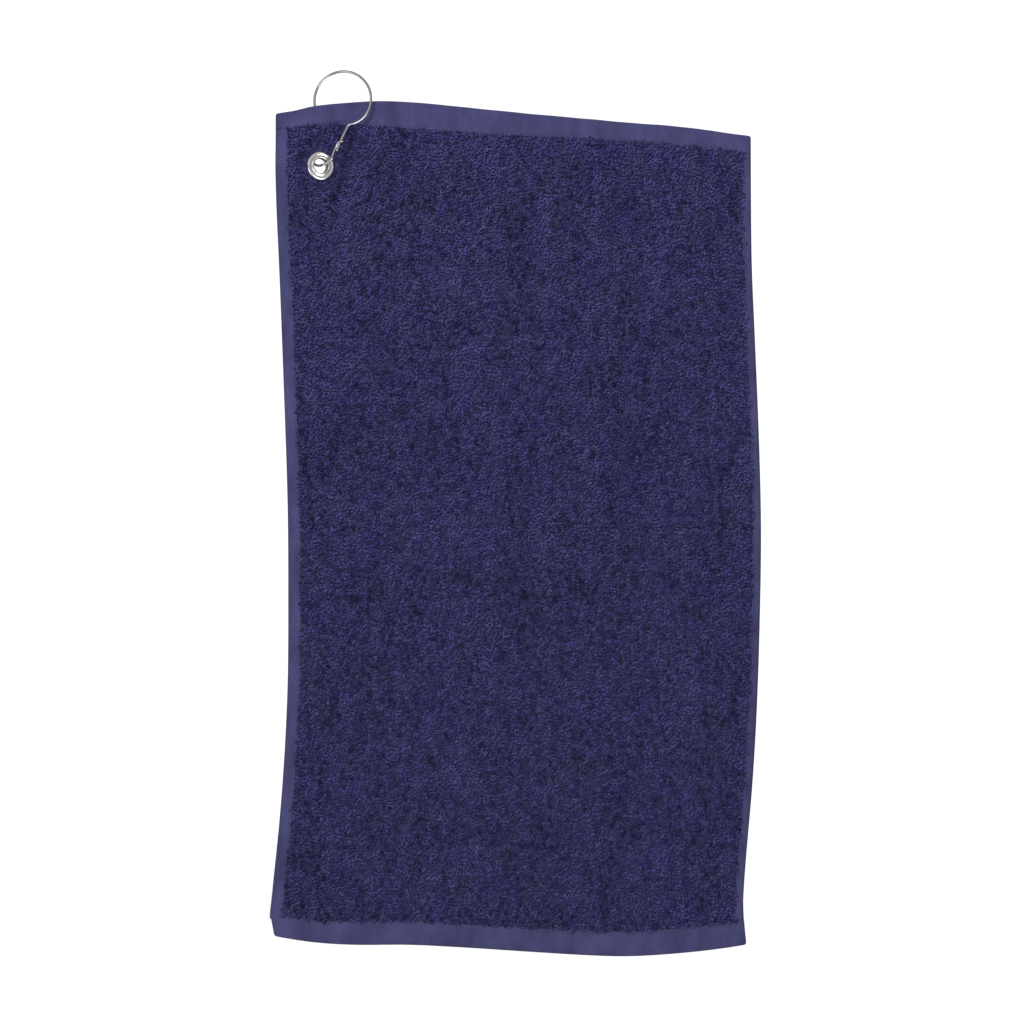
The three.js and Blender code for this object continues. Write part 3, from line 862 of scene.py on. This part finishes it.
def turned_part(name, profile, node):
    """A part turned about the grommet's axis from a closed profile of [radius, out] in millimetres."""
    closed = smooth_path(np.array(profile + profile[:1]) * MM, 4)[:-1]
    spin = np.linspace(0, 2 * math.pi, TURNED_SIDES, endpoint=False)[:, None, None]
    right = np.array([math.cos(GROMMET_TILT), math.sin(GROMMET_TILT), 0])
    front = np.array([math.sin(GROMMET_TILT), -math.cos(GROMMET_TILT), 0])
    radius = closed[None, :, :1]
    rims = radius * np.cos(spin) * right + radius * np.sin(spin) * np.array([0, 0, 1])
    points = (grommet + rims + closed[None, :, 1:] * front).reshape(-1, 3)
    rows, columns = TURNED_SIDES, len(closed)
    row, column = np.meshgrid(np.arange(rows), np.arange(columns), indexing="ij")
    quads = cell_quads((row + 1) % rows, row, column, (column + 1) % columns, columns)
    piece = make_piece(name, points, [quads], nickel_material, flat_map=False)
    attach(piece, "upper_third")
    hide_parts(node)


def build_grommet():
    turned_part("eyelet", [
        [4.6, -2.2], [4.6, 0], [4.6, 1.9], [4.75, 2.4], [5.2, 2.72], [5.75, 2.55],
        [6.1, 2.1], [6.5, 2.0], [7.1, 2.3], [7.8, 2.35], [8.45, 2.0], [8.8, 1.45],
        [8.75, 1.12], [8, 1.1], [6.5, 1.1], [5.3, 1.1], [5.2, 0], [5.2, -1.9],
        [6, -2.0], [6.8, -2.1], [6.85, -2.5], [6.3, -2.8], [5.4, -2.85], [4.8, -2.6],
    ], "grommet_eyelet")
    turned_part("back_washer", [
        [5.5, -1.4], [5.6, -1.1], [7, -1.1], [8.6, -1.12],
        [8.65, -1.4], [8.3, -1.68], [7, -1.72], [5.5, -1.7],
    ], "grommet_washer")


# --- Materials --------------------------------------------------------------------------------------

def new_material(name):
    """A node material and its main shader."""
    material = bpy.data.materials.new(name)
    material.use_nodes = True
    return material, material.node_tree, material.node_tree.nodes["Principled BSDF"]


def add_node(tree, kind, **inputs):
    node = tree.nodes.new(kind)
    for label, value in inputs.items():
        node.inputs[label.replace("_", " ")].default_value = value
    return node


def object_noise(tree, scale, detail=3.0, stretch=(1, 1, 1)):
    """Noise over the object's own coordinates."""
    place = tree.nodes.new("ShaderNodeTexCoord")
    mapping = tree.nodes.new("ShaderNodeMapping")
    mapping.inputs["Scale"].default_value = stretch
    tree.links.new(place.outputs["Object"], mapping.inputs["Vector"])
    noise = add_node(tree, "ShaderNodeTexNoise", Scale=scale, Detail=detail)
    tree.links.new(mapping.outputs["Vector"], noise.inputs["Vector"])
    return noise.outputs["Fac"]


def attribute_value(tree, name):
    node = tree.nodes.new("ShaderNodeAttribute")
    node.attribute_name = name
    return node.outputs["Fac"]


def ramp(tree, source, low, high, from_min=0.0, from_max=1.0):
    """Maps a value onto the span between two colours."""
    spread = tree.nodes.new("ShaderNodeMapRange")
    spread.inputs["From Min"].default_value = from_min
    spread.inputs["From Max"].default_value = from_max
    tree.links.new(source, spread.inputs["Value"])
    mix = tree.nodes.new("ShaderNodeMix")
    mix.data_type = "RGBA"
    mix.inputs["A"].default_value = (*low, 1)
    mix.inputs["B"].default_value = (*high, 1)
    tree.links.new(spread.outputs["Result"], mix.inputs["Factor"])
    return mix.outputs["Result"]


def multiply_colors(tree, first, second):
    mix = tree.nodes.new("ShaderNodeMix")
    mix.data_type = "RGBA"
    mix.blend_type = "MULTIPLY"
    mix.inputs["Factor"].default_value = 1
    tree.links.new(first, mix.inputs["A"])
    tree.links.new(second, mix.inputs["B"])
    return mix.outputs["Result"]


def add_bump(tree, shader, source, strength, distance):
    bump = add_node(tree, "ShaderNodeBump", Strength=strength, Distance=distance)
    tree.links.new(source, bump.inputs["Height"])
    tree.links.new(bump.outputs["Normal"], shader.inputs["Normal"])


def span_to_input(tree, source, shader, label, low, high):
    spread = add_node(tree, "ShaderNodeMapRange", To_Min=low, To_Max=high)
    tree.links.new(source, spread.inputs["Value"])
    tree.links.new(spread.outputs["Result"], shader.inputs[label])


def make_terry_material():
    material, tree, shader = new_material("navy_terry_yarn")
    dark, light = (0.0039, 0.0035, 0.02), (0.0357, 0.0328, 0.1145)
    streaks = ramp(tree, attribute_value(tree, "shade"), dark, light, -2.8, 2.8)
    # Painted shade: the yarn darkens towards the loops' feet, where shade falls between the loops.
    painted_foot_shade = ramp(tree, attribute_value(tree, "painted_foot_shade"), (0.86, 0.86, 0.88), (1, 1, 1), 0.3, 1.0)
    fibres = ramp(tree, object_noise(tree, 2600, 4), (0.86, 0.86, 0.86), (1.14, 1.14, 1.14), 0.3, 0.7)
    hue = ramp(tree, attribute_value(tree, "hue"), (1.09, 1.09, 0.93), (0.93, 0.93, 1.07), -1, 1)
    tint = ramp(tree, object_noise(tree, 110, 2), (0.94, 1.05, 1), (1.07, 0.96, 1), 0.35, 0.65)
    hue = multiply_colors(tree, hue, tint)
    yarn = multiply_colors(tree, streaks, painted_foot_shade)
    color = multiply_colors(tree, yarn, multiply_colors(tree, fibres, hue))
    tree.links.new(color, shader.inputs["Base Color"])
    span_to_input(tree, object_noise(tree, 900), shader, "Roughness", 0.78, 0.98)
    shader.inputs["Sheen Weight"].default_value = 0.06
    shader.inputs["Sheen Roughness"].default_value = 0.5
    shader.inputs["Sheen Tint"].default_value = (0.5, 0.5, 0.75, 1)
    shader.inputs["Specular IOR Level"].default_value = 0.08
    add_bump(tree, shader, object_noise(tree, 3500, 4), 0.5, 0.0002)
    return material


def make_base_material():
    material, tree, shader = new_material("navy_base_weave")
    color = ramp(tree, object_noise(tree, 700, 3), (0.018, 0.0175, 0.054), (0.028, 0.027, 0.078), 0.3, 0.7)
    tree.links.new(color, shader.inputs["Base Color"])
    span_to_input(tree, object_noise(tree, 900), shader, "Roughness", 0.85, 1.0)
    shader.inputs["Specular IOR Level"].default_value = 0.15
    add_bump(tree, shader, object_noise(tree, 1800, 4), 0.6, 0.0003)
    return material


def make_hem_material():
    material, tree, shader = new_material("navy_hem_weave")
    dark, light = (0.02, 0.0195, 0.057), (0.0335, 0.0325, 0.089)
    cloudy = ramp(tree, object_noise(tree, 90, 4, (1, 1, 0.5)), dark, light, 0.32, 0.68)
    # The colour follows the ribs' and slubs' relief: painted shade in the grooves, painted light on the
    # crests.
    ribs = ramp(tree, attribute_value(tree, "rib"), (0.84, 0.84, 0.86), (1.08, 1.08, 1.08), -1.5, 1.5)
    fibres = ramp(tree, object_noise(tree, 2400, 4), (0.88, 0.88, 0.88), (1.12, 1.12, 1.12), 0.3, 0.7)
    # Painted shade: a darker line along the hem's outer fold, where the cloth turns away.
    fold = ramp(tree, attribute_value(tree, "fold"), (1, 1, 1), (0.6, 0.6, 0.62))
    color = multiply_colors(tree, multiply_colors(tree, cloudy, ribs), multiply_colors(tree, fibres, fold))
    tree.links.new(color, shader.inputs["Base Color"])
    span_to_input(tree, object_noise(tree, 1200), shader, "Roughness", 0.75, 0.95)
    shader.inputs["Sheen Weight"].default_value = 0.06
    shader.inputs["Sheen Roughness"].default_value = 0.5
    shader.inputs["Specular IOR Level"].default_value = 0.15
    add_bump(tree, shader, object_noise(tree, 2400, 5, (1, 1, 1.6)), 0.6, 0.0002)
    return material


def make_thread_material():
    material, tree, shader = new_material("navy_sewing_thread")
    color = ramp(tree, object_noise(tree, 500, 3), (0.02, 0.019, 0.058), (0.032, 0.031, 0.08), 0.3, 0.7)
    tree.links.new(color, shader.inputs["Base Color"])
    span_to_input(tree, object_noise(tree, 1500), shader, "Roughness", 0.5, 0.75)
    add_bump(tree, shader, object_noise(tree, 5000, 3), 0.5, 0.0001)
    return material


def make_metal_material(name, low, high, rough_low, rough_high):
    """Bright metal with faint rubbed patches and hair scratches."""
    material, tree, shader = new_material(name)
    color = ramp(tree, object_noise(tree, 260, 4), low, high, 0.35, 0.65)
    tree.links.new(color, shader.inputs["Base Color"])
    shader.inputs["Metallic"].default_value = 1
    span_to_input(tree, object_noise(tree, 420, 5), shader, "Roughness", rough_low, rough_high)
    add_bump(tree, shader, object_noise(tree, 900, 5, (1, 4, 1)), 0.12, 0.00005)
    return material


terry_material = make_terry_material()
base_material = make_base_material()
hem_material = make_hem_material()
thread_material = make_thread_material()
nickel_material = make_metal_material("nickel_plate", (0.68, 0.65, 0.66), (0.82, 0.79, 0.8), 0.14, 0.24)
wire_material = make_metal_material("drawn_spring_wire", (0.34, 0.34, 0.34), (0.46, 0.46, 0.46), 0.1, 0.2)


# --- Studio -----------------------------------------------------------------------------------------

def build_floor():
    floor_z = cad_low[2] - FLOOR_DROP
    bpy.ops.mesh.primitive_circle_add(vertices=96, radius=6, fill_type="NGON", location=(0, 0, floor_z))
    floor = bpy.context.object
    floor.name = "studio_floor"
    material, tree, shader = new_material("pale_floor")
    shader.inputs["Base Color"].default_value = (0.92, 0.92, 0.92, 1)
    shader.inputs["Roughness"].default_value = 0.9
    floor.data.materials.append(material)
    floor.visible_glossy = False


def towards(tree, direction, start, full, strength):
    """A soft patch of light on the room's wall, round this direction."""
    place = tree.nodes.new("ShaderNodeTexCoord")
    facing = tree.nodes.new("ShaderNodeVectorMath")
    facing.operation = "DOT_PRODUCT"
    facing.inputs[1].default_value = Vector(direction).normalized()
    tree.links.new(place.outputs["Generated"], facing.inputs[0])
    patch = add_node(tree, "ShaderNodeMapRange", From_Min=start, From_Max=full, To_Max=strength)
    patch.interpolation_type = "SMOOTHSTEP"
    tree.links.new(facing.outputs["Value"], patch.inputs["Value"])
    return patch.outputs["Result"]


def build_world():
    """A white surround for the camera and the cloth, and a dim room with bright walls for the metal."""
    world = bpy.data.worlds.new("studio")
    bpy.context.scene.world = world
    world.use_nodes = True
    tree = world.node_tree
    white = tree.nodes["Background"]
    white.inputs["Color"].default_value = (1, 1, 1, 1)
    white.inputs["Strength"].default_value = SURROUND_STRENGTH
    room = tree.nodes.new("ShaderNodeBackground")
    total = tree.nodes.new("ShaderNodeValue").outputs["Value"]
    total.default_value = ROOM_GLOW
    for direction, start, full, strength in ROOM_WALLS:
        add = tree.nodes.new("ShaderNodeMath")
        tree.links.new(total, add.inputs[0])
        tree.links.new(towards(tree, direction, start, full, strength), add.inputs[1])
        total = add.outputs["Value"]
    tree.links.new(total, room.inputs["Strength"])
    room.inputs["Color"].default_value = (1, 1, 1, 1)
    path = tree.nodes.new("ShaderNodeLightPath")
    mix = tree.nodes.new("ShaderNodeMixShader")
    tree.links.new(path.outputs["Is Glossy Ray"], mix.inputs["Fac"])
    tree.links.new(white.outputs["Background"], mix.inputs[1])
    tree.links.new(room.outputs["Background"], mix.inputs[2])
    tree.links.new(mix.outputs["Shader"], tree.nodes["World Output"].inputs["Surface"])


def add_softbox(name, place, target, size, power):
    light = bpy.data.lights.new(name, "AREA")
    light.shape = "RECTANGLE"
    light.size, light.size_y = size
    light.energy = power
    lamp = bpy.data.objects.new(name, light)
    lamp.location = place
    lamp.rotation_euler = (Vector(target) - Vector(place)).to_track_quat("-Z", "Y").to_euler()
    lamp.visible_glossy = False
    bpy.context.scene.collection.objects.link(lamp)


def build_lights():
    add_softbox("key_softbox", (-0.7, -1.1, 1.3), (0, 0, 0), (0.6, 0.5), 50)
    add_softbox("back_softbox", (0.7, 1.1, 1.2), (0, 0, 0), (0.6, 0.5), 30)


def build_camera():
    """A long lens, square on to the towel's front."""
    centre = (Vector(cad_low) + Vector(cad_high)) / 2
    frame_width = FRAME_WIDTH * (cad_high[2] - cad_low[2])
    camera_data = bpy.data.cameras.new("camera")
    camera_data.lens = LENS
    camera = bpy.data.objects.new("camera", camera_data)
    distance = frame_width * camera_data.lens / camera_data.sensor_width
    camera.location = centre + VIEW_SHIFT - Vector((0, distance, 0))
    camera.rotation_euler = (math.pi / 2, 0, 0)
    bpy.context.scene.collection.objects.link(camera)
    bpy.context.scene.camera = camera


bpy.context.scene.view_settings.view_transform = "Standard"
build_base_cloth()
build_pile(1, FRONT_PITCH, 4)
build_pile(-1, BACK_PITCH, 3)
for end_name in ("top", "bottom"):
    build_end_hem(end_name)
    build_end_seams(end_name)
for side_name in ("left", "right"):
    build_side_hem(side_name)
    build_side_seams(side_name)
build_grommet()
build_ring()
build_floor()
build_world()
build_lights()
build_camera()
